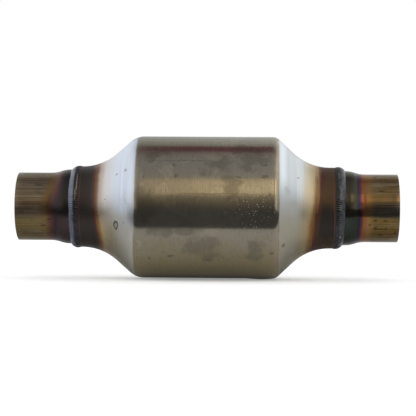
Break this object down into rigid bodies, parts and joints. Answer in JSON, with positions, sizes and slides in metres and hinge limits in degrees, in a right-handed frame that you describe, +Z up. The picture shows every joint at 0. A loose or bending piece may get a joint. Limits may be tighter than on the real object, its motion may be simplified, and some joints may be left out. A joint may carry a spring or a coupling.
{
  "type": "catalytic converter",
  "caption": "Round catalytic converter: a spun steel can tapers through cones to short necks, with a heat-tinted pipe welded to each end and a ceramic honeycomb brick inside.",
  "frame": {"origin": "middle of the whole converter, on its gas axis", "axes": "+X along the gas flow, from the inlet pipe to the outlet pipe; +Z up; +Y away from a viewer who has the inlet at the left"},
  "size_m": [0.284, 0.1062, 0.1062],
  "materials": {
    "spun_can_steel": "dull warm grey on the barrel, bright spun rings on the cones, light scratches",
    "pipe_steel": "satin tube with straw, brown and purple heat tint near the welds",
    "weld_metal": "rippled bead, dark blue-grey with heat tint",
    "ceramic": "matt coated ceramic, pale tan",
    "mat_fibre": "matt felted fibre"
  },
  "bodies": {
    "root": {"can": "spun_can_steel", "inlet_pipe": "pipe_steel", "outlet_pipe": "pipe_steel", "inlet_weld": "weld_metal", "outlet_weld": "weld_metal", "honeycomb_brick": "ceramic", "support_mat": "mat_fibre"}
  },
  "joints": []
}
